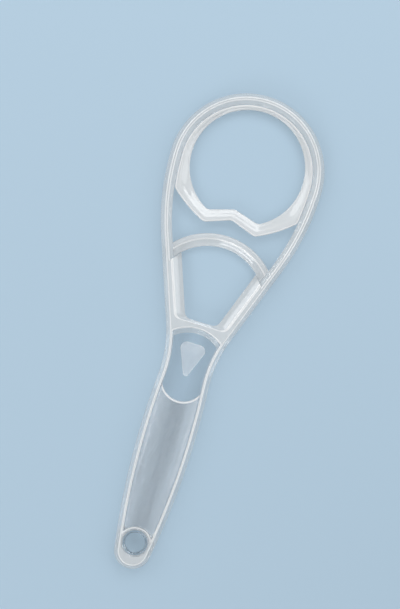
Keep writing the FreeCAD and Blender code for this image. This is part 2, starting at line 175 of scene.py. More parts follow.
def makeMouldMarks():
    # the marks that every finish has, each with its own strengths
    tree = bpy.data.node_groups.new("mouldMarks", "ShaderNodeTree")
    addSockets(tree, "INPUT", {
        "Tint": "Color", "Polish": "Float", "Haze": "Float", "Ripple": "Float", "Streaks": "Float",
        "Painted Middle Shade": "Float"})
    addSockets(tree, "OUTPUT", {"Color": "Color", "Roughness": "Float", "Normal": "Vector"})
    given = tree.nodes.new("NodeGroupInput").outputs
    place = tree.nodes.new("ShaderNodeTexCoord").outputs["Object"]

    # the tint drifts in soft clouds and in streaks along the handle. Near the handle's middle it is painted
    # darker, a painted dark reflection on the grip, or lighter, which leaves painted shade at the dish's
    # sides
    clouds = addNode(tree, "ShaderNodeTexNoise", {"Vector": place, "Scale": 55, "Detail": 3})
    drawn = addNode(tree, "ShaderNodeMapping", {"Vector": place, "Scale": (1, 0.1, 1)})
    flow = addNode(tree, "ShaderNodeTexNoise", {"Vector": drawn.outputs[0], "Scale": 330, "Detail": 2})
    streaks = addNode(tree, "ShaderNodeMapRange", {
        "Value": flow.outputs["Fac"], "From Min": 0.35, "From Max": 0.65})
    across = addNode(tree, "ShaderNodeSeparateXYZ", {0: place})
    aside = addNode(tree, "ShaderNodeMath", {0: across.outputs["X"]}, operation="ABSOLUTE")
    # painted reflection and shade: a mask for the middle of the handle
    middle = addNode(tree, "ShaderNodeMapRange", {
        "Value": aside.outputs[0], "From Min": 0.0006, "From Max": 0.005, "To Min": 1, "To Max": 0},
        interpolation_type="SMOOTHSTEP")
    cloudy = {0: clouds.outputs["Fac"], 1: -0.04, 2: 1}  # up to 4% darker
    shade = addNode(tree, "ShaderNodeMath", cloudy, operation="MULTIPLY_ADD")
    for mask, strength in ((streaks, given["Streaks"]), (middle, given["Painted Middle Shade"])):
        loss = addNode(tree, "ShaderNodeMath", {0: mask.outputs[0], 1: strength}, operation="MULTIPLY")
        left = {0: shade.outputs[0], 1: loss.outputs[0]}
        shade = addNode(tree, "ShaderNodeMath", left, operation="SUBTRACT")
    shaded = {0: given["Tint"], "Scale": shade.outputs[0]}
    tint = addNode(tree, "ShaderNodeVectorMath", shaded, operation="SCALE")

    # rubbed patches are duller
    rubs = addNode(tree, "ShaderNodeTexNoise", {"Vector": place, "Scale": 420, "Detail": 6, "Roughness": 0.7})
    rough = addNode(tree, "ShaderNodeMapRange", {
        "Value": rubs.outputs["Fac"], "From Min": 0.45, "From Max": 0.75, "To Min": given["Polish"],
        "To Max": given["Haze"]})

    # the mould leaves a faint ripple
    waves = addNode(tree, "ShaderNodeTexNoise", {"Vector": place, "Scale": 130, "Detail": 2})
    bump = addNode(tree, "ShaderNodeBump", {
        "Height": waves.outputs["Fac"], "Strength": given["Ripple"], "Distance": 0.0004})
    addNode(tree, "NodeGroupOutput", {
        "Color": tint.outputs[0], "Roughness": rough.outputs[0], "Normal": bump.outputs[0]})
    return tree


mouldMarks = makeMouldMarks()


def clearStyrene(name, tint, veil, haze, ripple, passes, polish=0.03, streaks=0.0, paintedMiddleShade=0.0):
    material = bpy.data.materials.new(name)
    material.use_nodes = True
    tree = material.node_tree
    tree.nodes.clear()
    marks = addNode(tree, "ShaderNodeGroup", {}, node_tree=mouldMarks)
    strengths = {
        "Tint": (*tint, 1), "Polish": polish, "Haze": haze, "Ripple": ripple, "Streaks": streaks,
        "Painted Middle Shade": paintedMiddleShade}
    for label, value in strengths.items():
        marks.inputs[label].default_value = value
    shader = addNode(tree, "ShaderNodeBsdfPrincipled", {
        "Transmission Weight": 1 - veil, "IOR": 1.57, "Base Color": marks.outputs["Color"],
        "Roughness": marks.outputs["Roughness"], "Normal": marks.outputs["Normal"]})
    # lamps shine through, so that what lies behind the plastic is lit
    passing = addNode(tree, "ShaderNodeBsdfTransparent", {"Color": (passes, passes, passes, 1)})
    ray = tree.nodes.new("ShaderNodeLightPath").outputs
    rays = {0: ray["Is Shadow Ray"], 1: ray["Is Diffuse Ray"]}
    either = addNode(tree, "ShaderNodeMath", rays, operation="MAXIMUM")
    mix = addNode(tree, "ShaderNodeMixShader", {
        0: either.outputs[0], 1: shader.outputs[0], 2: passing.outputs[0]})
    addNode(tree, "ShaderNodeOutputMaterial", {"Surface": mix.outputs[0]})
    return material


# veil is how milky the plastic is, haze how dull its rubbed patches are, and passes the light through a face
finishes = {
    "clearFrame": {"tint": (0.96, 0.975, 0.98), "veil": 0.33, "haze": 0.14, "ripple": 0.05, "passes": 0.82,
                   "streaks": 0.05},
    "clearRing": {"tint": (0.97, 0.98, 0.98), "veil": 0.4, "haze": 0.12, "ripple": 0.05, "passes": 0.82},
    # the grip's darker middle is a painted dark reflection
    "clearGrip": {"tint": (0.93, 0.955, 0.975), "veil": 0.15, "haze": 0.22, "ripple": 0.08, "passes": 0.97,
                  "streaks": 0.1, "paintedMiddleShade": 0.19},
    "clearPad": {"tint": (0.92, 0.945, 0.965), "veil": 0.09, "haze": 0.5, "ripple": 0.03, "passes": 0.96,
                 "polish": 0.4},
    # the web's darker tint and its sides darker than its middle are painted shade in the dish
    "clearWeb": {"tint": (0.84, 0.88, 0.91), "veil": 0.03, "haze": 0.1, "ripple": 0.05, "passes": 0.96,
                 "streaks": 0.06, "paintedMiddleShade": -0.12},
    "clearBush": {"tint": (0.8, 0.85, 0.89), "veil": 0.02, "haze": 0.1, "ripple": 0.04, "passes": 0.93},
    # a paler, milkier copy of the plastic, laid where highlights fall: painted highlight
    "paintedHighlight": {"tint": (0.98, 0.985, 0.985), "veil": 0.62, "haze": 0.2, "ripple": 0.03, "passes": 0.92},
}
finish = {name: clearStyrene(name, **values) for name, values in finishes.items()}
print("materials made")

# Frame: racket outline with a sloped rim, the head's opening, the grip's recess and the eyelet's seat
handle = {
    "endRadius": 5.9, "endDrop": 2.8, "gripHalf": 9.0, "gripStation": 36.0, "neckRadius": 40.0,
    "armAngle": 20.0, "shoulderRadius": 80.0, "headRadius": 25.0, "headStation": 123.5, "height": 5.0,
    "slopeWidth": 1.3, "slopeDrop": 3.0, "rimFlat": 0.7, "rimRound": 0.6, "ridgeRound": 0.4, "crease": 0.1,
    "armWidth": 3.6, "armSlope": 1.4, "slopeRise": 1.5, "lowerArmWidth": 6.2, "lowerArmSlope": 3.2,
    "footHalf": 3.5, "footCorner": 2.5, "footLip": 0.9, "openingRound": 0.24, "recessFloor": 2.2,
    "neckWeb": 2.2, "neckArchRise": 2.8, "archSlope": 1.4, "landRise": 2.7, "lipRound": 0.3,
    "floorRound": 0.25, "flangeRadius": 4.5, "flangeHeight": 0.9, "boreRadius": 4.0, "seatRound": 0.14,
    "land": 0.5, "strip": 0.06, "creaseIn": 0.02, "creaseUp": 0.08, "slopeShare": 0.85,
    # shares of the way from the opening's wall to its lip, with heights over the slope's foot
    "slopeTurn": [(0, -0.2), (0, -0.04), (0.02, 0.05)],
    # and with depths under the top
    "lipTurn": [(0.93, 0.08), (1.0, 0.03), (1.06, 0.008), (1.12, 0), (1.16, 0)],
}
# how many steps each stretch of its outlines has
handleSteps = {
    "end": 22, "barrel": 60, "neck": 24, "arm": 20, "shoulder": 34, "head": 48, "foot": 8, "footCorner": 12,
    "lowerArm": 24, "armStep": 8, "upperArm": 10, "land": 18, "recessNeck": 20, "arch": 16, "ridge": 5,
}
# the ring and the bridge stand here too, because the frame's opening is cut to fit them
ring = {
    "height": 3.4, "band": 3.0, "holeRise": 1.3, "lobeOffset": 8.4, "lobeWidth": 4.2, "peakRise": 3.0,
    "peakWidth": 3.7, "endRise": 7.9, "sweepRadius": 42.0, "corner": 2.4, "endCorner": 1.2,
    "edgeRound": 0.45, "crestShare": 0.2, "fall": 1.1, "fallShare": 0.24,
}
# even has the steps of the bow, the sweep and the side, alike on the outer edge and on the hole
ringSteps = {
    "peak": 12, "flank": 20, "lobe": 10, "sweep": 30, "tip": 8, "side": 20, "head": 60, "hole": 80,
    "even": (40, 44, 96),
}
bridge = {
    "height": 3.4, "gap": 2.2, "rise": 7.3, "width": 4.2, "edgeRound": 0.5, "crestShare": 0.36, "fall": 1.2,
    "lead": 0.4, "endGap": 0.03, "steps": 90,
    # steps along the bar, and how far its end is drawn in there
    "endTurn": [(0, 0.1), (0.06, 0.03), (0.18, 0)],
}
seatGap = 0.1  # between a piece and its seat

# The arcs of the handle's outline, each tangent to the next
lean = math.radians(handle["armAngle"])
armOut = point(math.cos(lean), -math.sin(lean))
armUp = point(math.sin(lean), math.cos(lean))
endCentre = point(0, -handle["endDrop"])
gripReach = handle["gripStation"] + handle["endDrop"]
barrelSwell = handle["gripHalf"] - handle["endRadius"]
barrelRadius = (gripReach ** 2 + handle["gripHalf"] ** 2 - handle["endRadius"] ** 2) / (2 * barrelSwell)
barrelCentre = point(handle["gripHalf"] - barrelRadius, handle["gripStation"])
shoulderCentre = point(handle["headRadius"] - handle["shoulderRadius"], handle["headStation"])
headCentre = point(0, handle["headStation"])
neckCentre = lineLeavesCircle(
    shoulderCentre + armOut * (handle["shoulderRadius"] + handle["neckRadius"]), armUp,
    barrelCentre, barrelRadius + handle["neckRadius"])


def barrelTop(inset):
    return barrelCentre + (neckCentre - barrelCentre).normalized() * (barrelRadius - inset)


def neckTop(inset):
    return neckCentre - armOut * (handle["neckRadius"] + inset)


def armTop(inset):
    return shoulderCentre + armOut * (handle["shoulderRadius"] - inset)


def headSide(inset):
    return point(handle["headRadius"] - inset, handle["headStation"])


def headTop(inset):
    return point(0, handle["headStation"] + handle["headRadius"] - inset)


def rimLoop(inset):
    radius = handle["endRadius"] - inset
    barrelFoot = endCentre + (endCentre - barrelCentre).normalized() * radius
    half = arcLeg(endCentre, endCentre - point(0, radius), barrelFoot, handleSteps["end"])
    half += arcLeg(barrelCentre, barrelFoot, barrelTop(inset), handleSteps["barrel"])
    half += arcLeg(neckCentre, barrelTop(inset), neckTop(inset), handleSteps["neck"])
    half += lineLeg(neckTop(inset), armTop(inset), handleSteps["arm"])
    half += arcLeg(shoulderCentre, armTop(inset), headSide(inset), handleSteps["shoulder"])
    half += arcLeg(headCentre, headSide(inset), headTop(inset), handleSteps["head"])
    return fullLoop(half + [headTop(inset)])


# The ring's hole sets the bow, the bow sets the bridge, and the bridge's feet set the step in the arms
holeRadius = handle["headRadius"] - handle["armWidth"] - ring["band"]
holeCentre = headCentre + point(0, ring["holeRise"])
holeLobe = holeCentre + point(ring["lobeOffset"], -math.sqrt(holeRadius ** 2 - ring["lobeOffset"] ** 2))
bowLobe = holeLobe - point(0, ring["lobeWidth"])
bowPeak = point(0, bowLobe.y + ring["peakRise"])
bridgeCrest = bowLobe.y - bridge["gap"] - bridge["width"]
innerArmTop = armTop(handle["armWidth"])
bridgeHalf = (innerArmTop + armUp * ((bridgeCrest - bridge["rise"] - innerArmTop.y) / armUp.y)).x
bridgeSeat = (bridgeHalf ** 2 + bridge["rise"] ** 2) / (2 * bridge["rise"])
bridgeCentre = point(0, bridgeCrest - bridgeSeat)
cornerLine = armTop(handle["lowerArmWidth"] + handle["footCorner"])
openingFoot = cornerLine.y + (handle["footHalf"] - cornerLine.x) / math.tan(lean) - handle["footCorner"]


def bridgeMeetsArm(radius, inset):
    return lineLeavesCircle(armTop(inset), armUp, bridgeCentre, radius)


def openingLoop(upperInset, lowerInset, foot):
    corner = handle["footCorner"]
    cornerTop = armTop(lowerInset + corner)
    cornerCentre = cornerTop + armUp * ((foot + corner - cornerTop.y) / armUp.y)
    cornerFoot = point(cornerCentre.x, foot)
    cornerSide = cornerCentre + armOut * corner
    stepIn = bridgeMeetsArm(bridgeSeat, lowerInset)
    stepOut = bridgeMeetsArm(bridgeSeat, upperInset)
    half = lineLeg(point(0, foot), cornerFoot, handleSteps["foot"])
    half += arcLeg(cornerCentre, cornerFoot, cornerSide, handleSteps["footCorner"])
    half += lineLeg(cornerSide, stepIn, handleSteps["lowerArm"])
    half += arcLeg(bridgeCentre, stepIn, stepOut, handleSteps["armStep"])
    half += lineLeg(stepOut, armTop(upperInset), handleSteps["upperArm"])
    half += arcLeg(shoulderCentre, armTop(upperInset), headSide(upperInset), handleSteps["shoulder"])
    half += arcLeg(headCentre, headSide(upperInset), headTop(upperInset), handleSteps["head"])
    return fullLoop(half + [headTop(upperInset)])


def archCentre(crest, foot):
    rise = crest - foot.y
    return point(0, crest - (foot.x ** 2 + rise ** 2) / (2 * rise))


recessInset = handle["slopeWidth"] + handle["rimFlat"]
webGrow = -handle["floorRound"] - handle["strip"]
landCrest = handle["flangeRadius"] + handle["land"]
archCrest = openingFoot - handle["neckWeb"]
lowRise = landCrest - handle["landRise"] - barrelCentre.y
lowReach = math.sqrt((barrelRadius - recessInset) ** 2 - lowRise ** 2)
recessLow = barrelCentre + point(lowReach, lowRise)
highRise = archCrest - handle["neckArchRise"] - neckCentre.y
highReach = math.sqrt((handle["neckRadius"] + recessInset) ** 2 - highRise ** 2)
recessHigh = neckCentre + point(-highReach, highRise)
landCentre = archCentre(landCrest, recessLow)
neckArchCentre = archCentre(archCrest, recessHigh)


def recessLoop(grow, archDrop=0.0):
    inset = recessInset - grow
    landRadius = landCrest - landCentre.y - grow
    archRadius = archCrest - neckArchCentre.y + grow - archDrop
    low = circlesMeet(landCentre, landRadius, barrelCentre, barrelRadius - inset)
    high = circlesMeet(neckCentre, handle["neckRadius"] + inset, neckArchCentre, archRadius)
    crest = neckArchCentre + point(0, archRadius)
    half = arcLeg(landCentre, landCentre + point(0, landRadius), low, handleSteps["land"])
    half += arcLeg(barrelCentre, low, barrelTop(inset), handleSteps["barrel"])
    half += arcLeg(neckCentre, barrelTop(inset), high, handleSteps["recessNeck"])
    half += arcLeg(neckArchCentre, high, crest, handleSteps["arch"])
    return fullLoop(half + [crest])


def circleLoop(radius, count=72):
    turns = [2 * math.pi * k / count for k in range(count)]
    return [point(radius * math.sin(t), -radius * math.cos(t)) for t in turns]


def rimProfile():
    # inset and height from the back, up the side and the slope, and round the ridge to the level top
    top, edge, crease = handle["height"], handle["ridgeRound"], handle["crease"]
    profile = [(handle["rimRound"] + crease, 0)] + eased(handle["rimRound"], 5)
    slopeFoot = top - handle["slopeDrop"]
    profile += [(0, slopeFoot - crease), (handle["creaseIn"], slopeFoot + handle["creaseUp"])]
    slopeTurn = math.atan2(handle["slopeDrop"], handle["slopeWidth"])
    ridgeInset = handle["slopeWidth"] + edge * math.tan(slopeTurn / 2)
    turns = [slopeTurn * (1 - k / handleSteps["ridge"]) for k in range(handleSteps["ridge"] + 1)]
    profile += [(ridgeInset - edge * math.sin(t), top - edge * (1 - math.cos(t))) for t in turns]
    return profile + [(ridgeInset + crease / 2, top)]


def openingRings(bm):
    top, rise = handle["height"], handle["slopeRise"]
    upper, lower = handle["armWidth"], handle["lowerArmWidth"]
    rings = []
    for out, z in eased(handle["openingRound"], 3):
        rings.append(addRing(bm, openingLoop(upper - out, lower - out, openingFoot - out), z))
    base = openingLoop(upper, lower, openingFoot)
    upperLip, lowerLip = upper - handle["armSlope"], lower - handle["lowerArmSlope"]
    lip = openingLoop(upperLip, lowerLip, openingFoot - handle["footLip"])
    slopeFoot = top - rise
    climb = [(share, slopeFoot + up) for share, up in handle["slopeTurn"]]
    climb.append((handle["slopeShare"], slopeFoot + handle["slopeShare"] * rise))
    climb += [(share, top - down) for share, down in handle["lipTurn"]]
    for share, z in climb:
        rings.append(addRing(bm, [p.lerp(q, share) for p, q in zip(base, lip)], z))
    return rings


def recessRings(bm):
    # down from the lip to the floor. The wall under the arch slopes
    top, level, lip = handle["height"], handle["recessFloor"], handle["lipRound"]
    profile = [(lip + handle["strip"], top)] + [(out, top - down) for out, down in eased(lip, 4)]
    profile += [(-into, level + up) for up, into in eased(handle["floorRound"], 2)] + [(webGrow, level)]
    fall = handle["archSlope"] / (top - level)
    return [addRing(bm, recessLoop(grow, fall * (top - z)), z) for grow, z in profile]


def seatRings(bm):
    top, wide, narrow = handle["height"], handle["flangeRadius"], handle["boreRadius"]
    seatLevel = top - handle["flangeHeight"]
    edge = [(handle["seatRound"] + handle["strip"], 0)] + eased(handle["seatRound"], 2)
    profile = [(wide + out, top - down) for out, down in edge]
    profile += [(wide, seatLevel), (narrow, seatLevel)]
    profile += [(narrow + out, up) for out, up in reversed(edge)]
    return [addRing(bm, circleLoop(radius), z) for radius, z in profile]


# the levels that turn over the lips of the opening and of the recess
openingLip = range(7, 11)
recessLip = range(1, 5)


def makeHandleFrame():
    bm = bmesh.new()
    rim = [addRing(bm, rimLoop(inset), z) for inset, z in rimProfile()]
    opening, recess, seat = openingRings(bm), recessRings(bm), seatRings(bm)
    # light gathers along the ridge and the two lips, so these have the pale finish, a painted highlight
    ridge = len(rim) - 1 - handleSteps["ridge"]
    skinRings(bm, rim, lambda level, step: int(level >= ridge))
    skinRings(bm, opening, lambda level, step: int(level in openingLip))
    skinRings(bm, recess, lambda level, step: 0 if level < recessLip[0] else 1 if level in recessLip else 2)
    skinRings(bm, seat)
    webBack = addRing(bm, recessLoop(webGrow, handle["archSlope"]), 0)
    capRings(bm, [rim[-1], opening[-1], recess[0], seat[0]])
    capRings(bm, [rim[0], opening[0], seat[-1], webBack])
    for face in capRings(bm, [recess[-1]]) + capRings(bm, [webBack]):
        face.material_index = 2  # the thin web under the grip is the clearest part
    finishPiece(bm, "handleFrame", "handle_frame", "clear_frame", "clearFrame", "paintedHighlight", "clearWeb")


makeHandleFrame()

# Scraper ring: a band that fills the head, highest at its outer edge and falling to the hole
ringInset = handle["armWidth"] + seatGap
sideRadius = handle["shoulderRadius"] - ringInset
endDepth = handle["headStation"] - bowLobe.y - ring["endRise"]
bowEnd = shoulderCentre + point(math.sqrt(sideRadius ** 2 - endDepth ** 2), -endDepth)
sweepCentre = circlesMeet(bowEnd, ring["sweepRadius"], bowLobe, ring["sweepRadius"])


def peakAndLobe(peak, lobe, centre, radius):
    # rounded legs from the axis over the peak and down to the lobe, and on from the lobe
    corner = ring["corner"]
    way = (lobe - peak).normalized()
    up = point(-way.y, way.x)
    peakCentre = point(0, peak.y - corner / up.y)
    lobeCentre = lineLeavesCircle(peak + up * corner, way, centre, radius - corner)
    lobeOut = (lobeCentre - centre).normalized()
    lobeFoot = lobeCentre + (lobeOut - up).normalized() * corner
    before = arcLeg(peakCentre, peakCentre + point(0, corner), peakCentre + up * corner, ringSteps["peak"])
    before += lineLeg(peakCentre + up * corner, lobeCentre - up * corner, ringSteps["flank"])
    before += arcLeg(lobeCentre, lobeCentre - up * corner, lobeFoot, ringSteps["lobe"]) + [lobeFoot]
    after = arcLeg(lobeCentre, lobeFoot, lobeCentre + lobeOut * corner, ringSteps["lobe"])
    return before, after, lobeCentre + lobeOut * corner


def evenLoop(*stretches):
    half = []
    for stretch, count in zip(stretches, ringSteps["even"]):
        half = half[:-1] + resampled(stretch, count)
    return fullLoop(half)


def bandLoops():
    outerBow, outerSweep, sweepStart = peakAndLobe(bowPeak, bowLobe, sweepCentre, ring["sweepRadius"])
    peakTop = bowPeak + point(0, ring["peakWidth"])
    innerBow, innerSweep, holeStart = peakAndLobe(peakTop, holeLobe, holeCentre, holeRadius)
    corner = ring["endCorner"]
    tipCentre = circlesMeet(shoulderCentre, sideRadius - corner, sweepCentre, ring["sweepRadius"] - corner)
    sweepOut = (tipCentre - sweepCentre).normalized()
    sideOut = (tipCentre - shoulderCentre).normalized()
    tip = tipCentre + (sweepOut + sideOut).normalized() * corner
    outerSweep += arcLeg(sweepCentre, sweepStart, tipCentre + sweepOut * corner, ringSteps["sweep"])
    outerSweep += arcLeg(tipCentre, tipCentre + sweepOut * corner, tip, ringSteps["tip"]) + [tip]
    top = headTop(ringInset)
    side = arcLeg(tipCentre, tip, tipCentre + sideOut * corner, ringSteps["tip"])
    side += arcLeg(shoulderCentre, tipCentre + sideOut * corner, headSide(ringInset), ringSteps["side"])
    side += arcLeg(headCentre, headSide(ringInset), top, ringSteps["head"]) + [top]
    holeTip = holeCentre + (tip - holeCentre).normalized() * holeRadius
    holeTop = holeCentre + point(0, holeRadius)
    innerSweep += arcLeg(holeCentre, holeStart, holeTip, ringSteps["sweep"]) + [holeTip]
    holeSide = arcLeg(holeCentre, holeTip, holeTop, ringSteps["hole"]) + [holeTop]
    return evenLoop(outerBow, outerSweep, side), evenLoop(innerBow, innerSweep, holeSide)


# the section across a band, for the ring and the bridge. slope has shares of the way across and of the fall
band = {
    "footRound": 0.25, "strip": 0.08, "crestDrop": 0.02, "slopeStop": 1.6,
    "slope": [(0.25, 0.17), (0.55, 0.5), (0.85, 0.84)],
}
bandEdge = range(7, 11)  # the steps that turn over its high edge
bandCrest = 12  # the step along its crest


def bandSection(width, height, edge, fall, crest):
    # from the high edge at 0 to the low edge at width, up from the back and over the top
    foot, strip, low = band["footRound"], band["strip"], height - fall
    rest = width - edge * band["slopeStop"] - crest
    section = [(foot + strip, 0)] + eased(foot, 4)
    section += [(into, height - down) for down, into in eased(edge, 4)]
    section += [(edge + strip, height), (crest, height - band["crestDrop"])]
    section += [(crest + across * rest, height - drop * fall) for across, drop in band["slope"]]
    section += [(width - into, low - down) for into, down in eased(edge, 4)]
    section += [(width - into, up) for up, into in eased(foot, 4)]
    return section + [(width - foot - strip, 0)]


def bandRing(bm, high, low, section):
    way = (low - high).normalized()
    return addRing(bm, [high + way * s for s, z in section], [z for s, z in section])


def makeScraperRing():
    bm = bmesh.new()
    rings = []
    for high, low in zip(*bandLoops()):
        width = (low - high).length
        fall = min(ring["fall"], ring["fallShare"] * width)
        crest = ring["edgeRound"] + ring["crestShare"] * width
        section = bandSection(width, ring["height"], ring["edgeRound"], fall, crest)
        rings.append(bandRing(bm, high, low, section))
    # the high edge takes the pale finish, a painted highlight
    skinRings(bm, rings + rings[:1], lambda level, step: int(step in bandEdge))
    finishPiece(bm, "scraperRing", "scraper_ring", "clear_ring", "clearRing", "paintedHighlight")


makeScraperRing()


# Bridge bar: an arched band with a ridge nearer to its upper edge
def makeBridgeBar():
    bm = bmesh.new()
    steps, ends = bridge["steps"], bridge["endTurn"]
    inset = handle["armWidth"] + bridge["endGap"]
    footHigh = bridgeMeetsArm(bridgeSeat + bridge["width"], inset)
    footLow = bridgeMeetsArm(bridgeSeat + seatGap, inset)
    upper = arcLeg(bridgeCentre, footHigh, mirrored(footHigh), steps) + [mirrored(footHigh)]
    lower = arcLeg(bridgeCentre, footLow, mirrored(footLow), steps) + [mirrored(footLow)]
    stops = ends + [(k, 0) for k in range(1, steps)] + [(steps - k, shrink) for k, shrink in reversed(ends)]
    lead = bridge["lead"] / bridge["height"]  # its upper side falls a little too
    rings = []
    for stop, shrink in stops:
        k = min(int(stop), steps - 1)
        high = upper[k].lerp(upper[k + 1], stop - k)
        low = lower[k].lerp(lower[k + 1], stop - k)
        width = (low - high).length
        crest = bridge["crestShare"] * width
        section = bandSection(width, bridge["height"], bridge["edgeRound"], bridge["fall"], crest)
        section = [(s, z * (1 - lead * max(0, 1 - s / crest))) for s, z in section]
        narrower, flatter = 1 - 2 * shrink / width, 1 - 2 * shrink / bridge["height"]
        section = [(shrink + s * narrower, shrink + z * flatter) for s, z in section]
        rings.append(bandRing(bm, high, low, section))
    # the crest takes the pale finish, a painted highlight
    skinRings(bm, rings, lambda level, step: int(step == bandCrest))
    bm.faces.new(rings[0])
    bm.faces.new(rings[-1])
    finishPiece(bm, "bridgeBar", "bridge_bar", "clear_frame", "clearFrame", "paintedHighlight")


makeBridgeBar()

# Grip panel: a crowned inlay with a hollow at the eyelet and at the thumb dish
panel = {
    "edgeHeight": 4.3, "crown": 0.5, "dishDrop": 19.4, "dishDepth": 4.4, "edgeRound": 0.6, "footRound": 0.2,
    "strip": 0.1, "lift": 0.04, "across": 26, "along": 84,
}


def panelSides(inset):
    # the four sides from corner to corner: foot and top from left to right, left and right upwards
    base = recessInset + seatGap
    depth = panel["dishDepth"]
    rise = archCrest - panel["dishDrop"] - barrelCentre.y
    high = barrelCentre + point(math.sqrt((barrelRadius - base) ** 2 - rise ** 2), rise)
    dishRadius = (high.x ** 2 + depth ** 2) / (2 * depth)
    dishCentre = point(0, high.y - depth + dishRadius)
    reach = barrelRadius - base - inset
    low = circlesMeet(landCentre, landCrest - landCentre.y + seatGap + inset, barrelCentre, reach)
    high = circlesMeet(barrelCentre, reach, dishCentre, dishRadius + inset)
    foot = arcLeg(landCentre, mirrored(low), low, panel["across"]) + [low]
    top = arcLeg(dishCentre, mirrored(high), high, panel["across"]) + [high]
    right = arcLeg(barrelCentre, low, high, panel["along"]) + [high]
    return foot, top, [mirrored(q) for q in right], right


def aroundSides(sides):
    foot, top, left, right = sides
    return foot[:-1] + right[:-1] + top[::-1][:-1] + left[::-1][:-1]


def crownHeight(q):
    return panel["edgeHeight"] + panel["crown"] * (1 - (q.x / handle["gripHalf"]) ** 2)


def patchFill(bm, sides, border, heightOf):
    # grid between the four sides, its border already there as the ring
    foot, top, left, right = sides
    across, along = panel["across"], panel["along"]
    grid = []
    for j in range(along + 1):
        v = j / along
        row = []
        for i in range(across + 1):
            u = i / across
            q = foot[i].lerp(top[i], v) + left[j].lerp(right[j], u)
            q -= foot[0].lerp(foot[-1], u).lerp(top[0].lerp(top[-1], u), v)
            if j == 0 or i == across:
                row.append(border[i + j])
            elif j == along or i == 0:
                row.append(border[(2 * across + 2 * along - i - j) % len(border)])
            else:
                row.append(addVert(bm, q, heightOf(q)))
        grid.append(row)
    for j in range(along):
        for i in range(across):
            bm.faces.new((grid[j][i], grid[j][i + 1], grid[j + 1][i + 1], grid[j + 1][i]))


panelEdge = range(6, 10)  # the levels that turn over its upper edge


def makeGripPanel():
    bm = bmesh.new()
    across, along, strip = panel["across"], panel["along"], panel["strip"]
    edge, footRound = panel["edgeRound"], panel["footRound"]
    foot = handle["recessFloor"] + panel["lift"]
    rings = []
    for inset, rise in [(footRound + strip, 0)] + eased(footRound, 2):
        rings.append(addRing(bm, aroundSides(panelSides(inset)), foot + rise))
    for drop, inset in eased(edge, 5) + [(0, edge + strip)]:
        loop = aroundSides(panelSides(inset))
        rings.append(addRing(bm, loop, [crownHeight(q) - drop for q in loop]))
    dishEnd = range(across + along, 2 * across + along)
    # the upper edge at the dish end takes the pale finish, a painted highlight
    skinRings(bm, rings, lambda level, step: int(level in panelEdge and step in dishEnd))
    patchFill(bm, panelSides(edge + strip), rings[-1], crownHeight)
    patchFill(bm, panelSides(footRound + strip), rings[0], lambda q: foot)
    finishPiece(bm, "gripPanel", "grip_panel", "clear_grip", "clearGrip", "paintedHighlight")


makeGripPanel()

# Thumb pad: a domed drop with a broad top, in the dish
pad = {
    "height": 1.7, "topDrop": 6.9, "topOffset": 2.0, "topRadius": 2.0, "tipDrop": 14.8, "tipRadius": 0.9,
    "lift": 0.04, "wall": 0.16, "domeDrop": 1.2, "swell": 1.2, "ovalHalf": 2.6, "ovalReach": 3.2, "hold": 3,
    "steps": 24,
    # shares of the way from the middle, and heights: the foot is a little drawn in
    "footTurn": [(0.9, 0), (0.985, 0.03), (1, 0.08)],
}
padSteps = {"tip": 10, "side": 14, "corner": 16, "top": 6}  # along its outline
thumbCorner = point(pad["topOffset"], archCrest - pad["topDrop"])
thumbTip = point(0, archCrest - pad["tipDrop"])
domeCentre = thumbCorner - point(pad["topOffset"], pad["domeDrop"])


def thumbLoop():
    way = thumbTip - thumbCorner
    slant = (pad["topRadius"] - pad["tipRadius"]) / way.length
    along = way.normalized()
    outward = along * slant + point(-along.y, along.x) * math.sqrt(1 - slant ** 2)
    sideFoot = thumbTip + outward * pad["tipRadius"]
    sideTop = thumbCorner + outward * pad["topRadius"]
    cornerTop = thumbCorner + point(0, pad["topRadius"])
    half = arcLeg(thumbTip, thumbTip - point(0, pad["tipRadius"]), sideFoot, padSteps["tip"])
    half += lineLeg(sideFoot, sideTop, padSteps["side"])
    half += arcLeg(thumbCorner, sideTop, cornerTop, padSteps["corner"])
    half += lineLeg(cornerTop, point(0, cornerTop.y), padSteps["top"])
    return fullLoop(half + [point(0, cornerTop.y)])


def domed(q, share):
    # the drop's outline at the wall, drawn to an oval higher up, so that no ridge is left
    way = q - domeCentre
    oval = way / math.hypot(way.x / pad["ovalHalf"], way.y / pad["ovalReach"])
    return domeCentre + oval.lerp(way, share ** pad["hold"]) * share


def makeThumbPad():
    bm = bmesh.new()
    loop = thumbLoop()
    foot = handle["recessFloor"] + pad["lift"]
    crown = handle["recessFloor"] + pad["height"]
    wallTop = foot + pad["wall"]
    rings = []
    for share, rise in pad["footTurn"]:
        rings.append(addRing(bm, [domeCentre.lerp(q, share) for q in loop], foot + rise))
    for k in range(pad["steps"]):
        share = 1 - k / pad["steps"]
        height = wallTop + (crown - wallTop) * (1 - share ** 2) ** pad["swell"]
        rings.append(addRing(bm, [domed(q, share) for q in loop], height))
    skinRings(bm, rings)
    capRings(bm, [rings[0]])
    top, last = addVert(bm, domeCentre, crown), rings[-1]
    for k in range(len(last)):
        bm.faces.new((last[k - 1], last[k], top))
    finishPiece(bm, "thumbPad", "thumb_pad", "clear_grip", "clearPad", sharpAngle=80)


makeThumbPad()

# Hang eyelet: a flanged bush with a flared mouth, its section swept round the hole
eyelet = {
    "boreRadius": 3.2, "wall": 0.7, "flange": 1.2, "flangeFoot": 4.1, "height": 5.0, "flare": 0.6,
    "edgeRound": 0.2, "footRound": 0.12, "turns": 96,
}


def bushSection():
    # out from the bore and up from the back
    height, flange, wall = eyelet["height"], eyelet["flange"], eyelet["wall"]
    foot = eased(eyelet["footRound"], 6)
    section = foot + [(out, height - down) for down, out in eased(eyelet["flare"], 6)]
    section += [(flange - into, height - down) for into, down in eased(eyelet["edgeRound"], 6)]
    section += [(flange, eyelet["flangeFoot"]), (wall, eyelet["flangeFoot"])]
    return section + [(wall - into, up) for up, into in foot]


